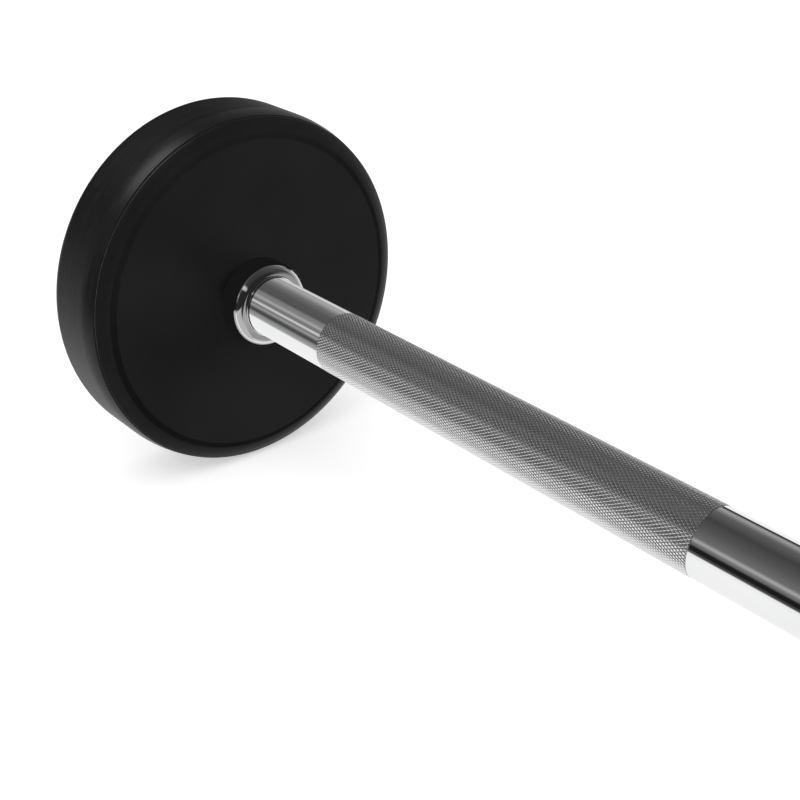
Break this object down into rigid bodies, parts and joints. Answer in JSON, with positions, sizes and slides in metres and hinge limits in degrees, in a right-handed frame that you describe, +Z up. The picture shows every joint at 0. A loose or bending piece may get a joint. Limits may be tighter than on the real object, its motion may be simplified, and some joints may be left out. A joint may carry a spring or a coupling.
{
  "type": "fixed barbell",
  "caption": "Straight fixed barbell with a chromed, knurled bar, chromed collars and a round rubber-covered head on each end.",
  "frame": {"origin": "middle of the bar, on its axis", "axes": "+X along the bar towards the right head, +Z up, the key slots face up"},
  "size_m": [1.08, 0.1714, 0.1714],
  "materials": {
    "bar_chrome": "bright chrome plate, diamond knurl on the hand bands",
    "collar_chrome": "polished chrome plate",
    "head_rubber": "moulded black rubber, satin",
    "core_iron": "as cast",
    "hidden_steel": "machined steel",
    "screw_steel": "black oxide steel",
    "plug_plastic": "moulded black plastic, satin"
  },
  "bodies": {
    "root": {"bar": "bar_chrome", "right_inner_collar": "collar_chrome", "right_spring_pin": "hidden_steel", "right_rubber_jacket": "head_rubber", "right_iron_core": "core_iron", "right_core_key": "hidden_steel", "right_end_washer": "hidden_steel", "right_lock_washer": "hidden_steel", "right_cap_screw": "screw_steel", "right_end_plug": "plug_plastic", "left_inner_collar": "collar_chrome", "left_spring_pin": "hidden_steel", "left_rubber_jacket": "head_rubber", "left_iron_core": "core_iron", "left_core_key": "hidden_steel", "left_end_washer": "hidden_steel", "left_lock_washer": "hidden_steel", "left_cap_screw": "screw_steel", "left_end_plug": "plug_plastic"}
  },
  "joints": []
}
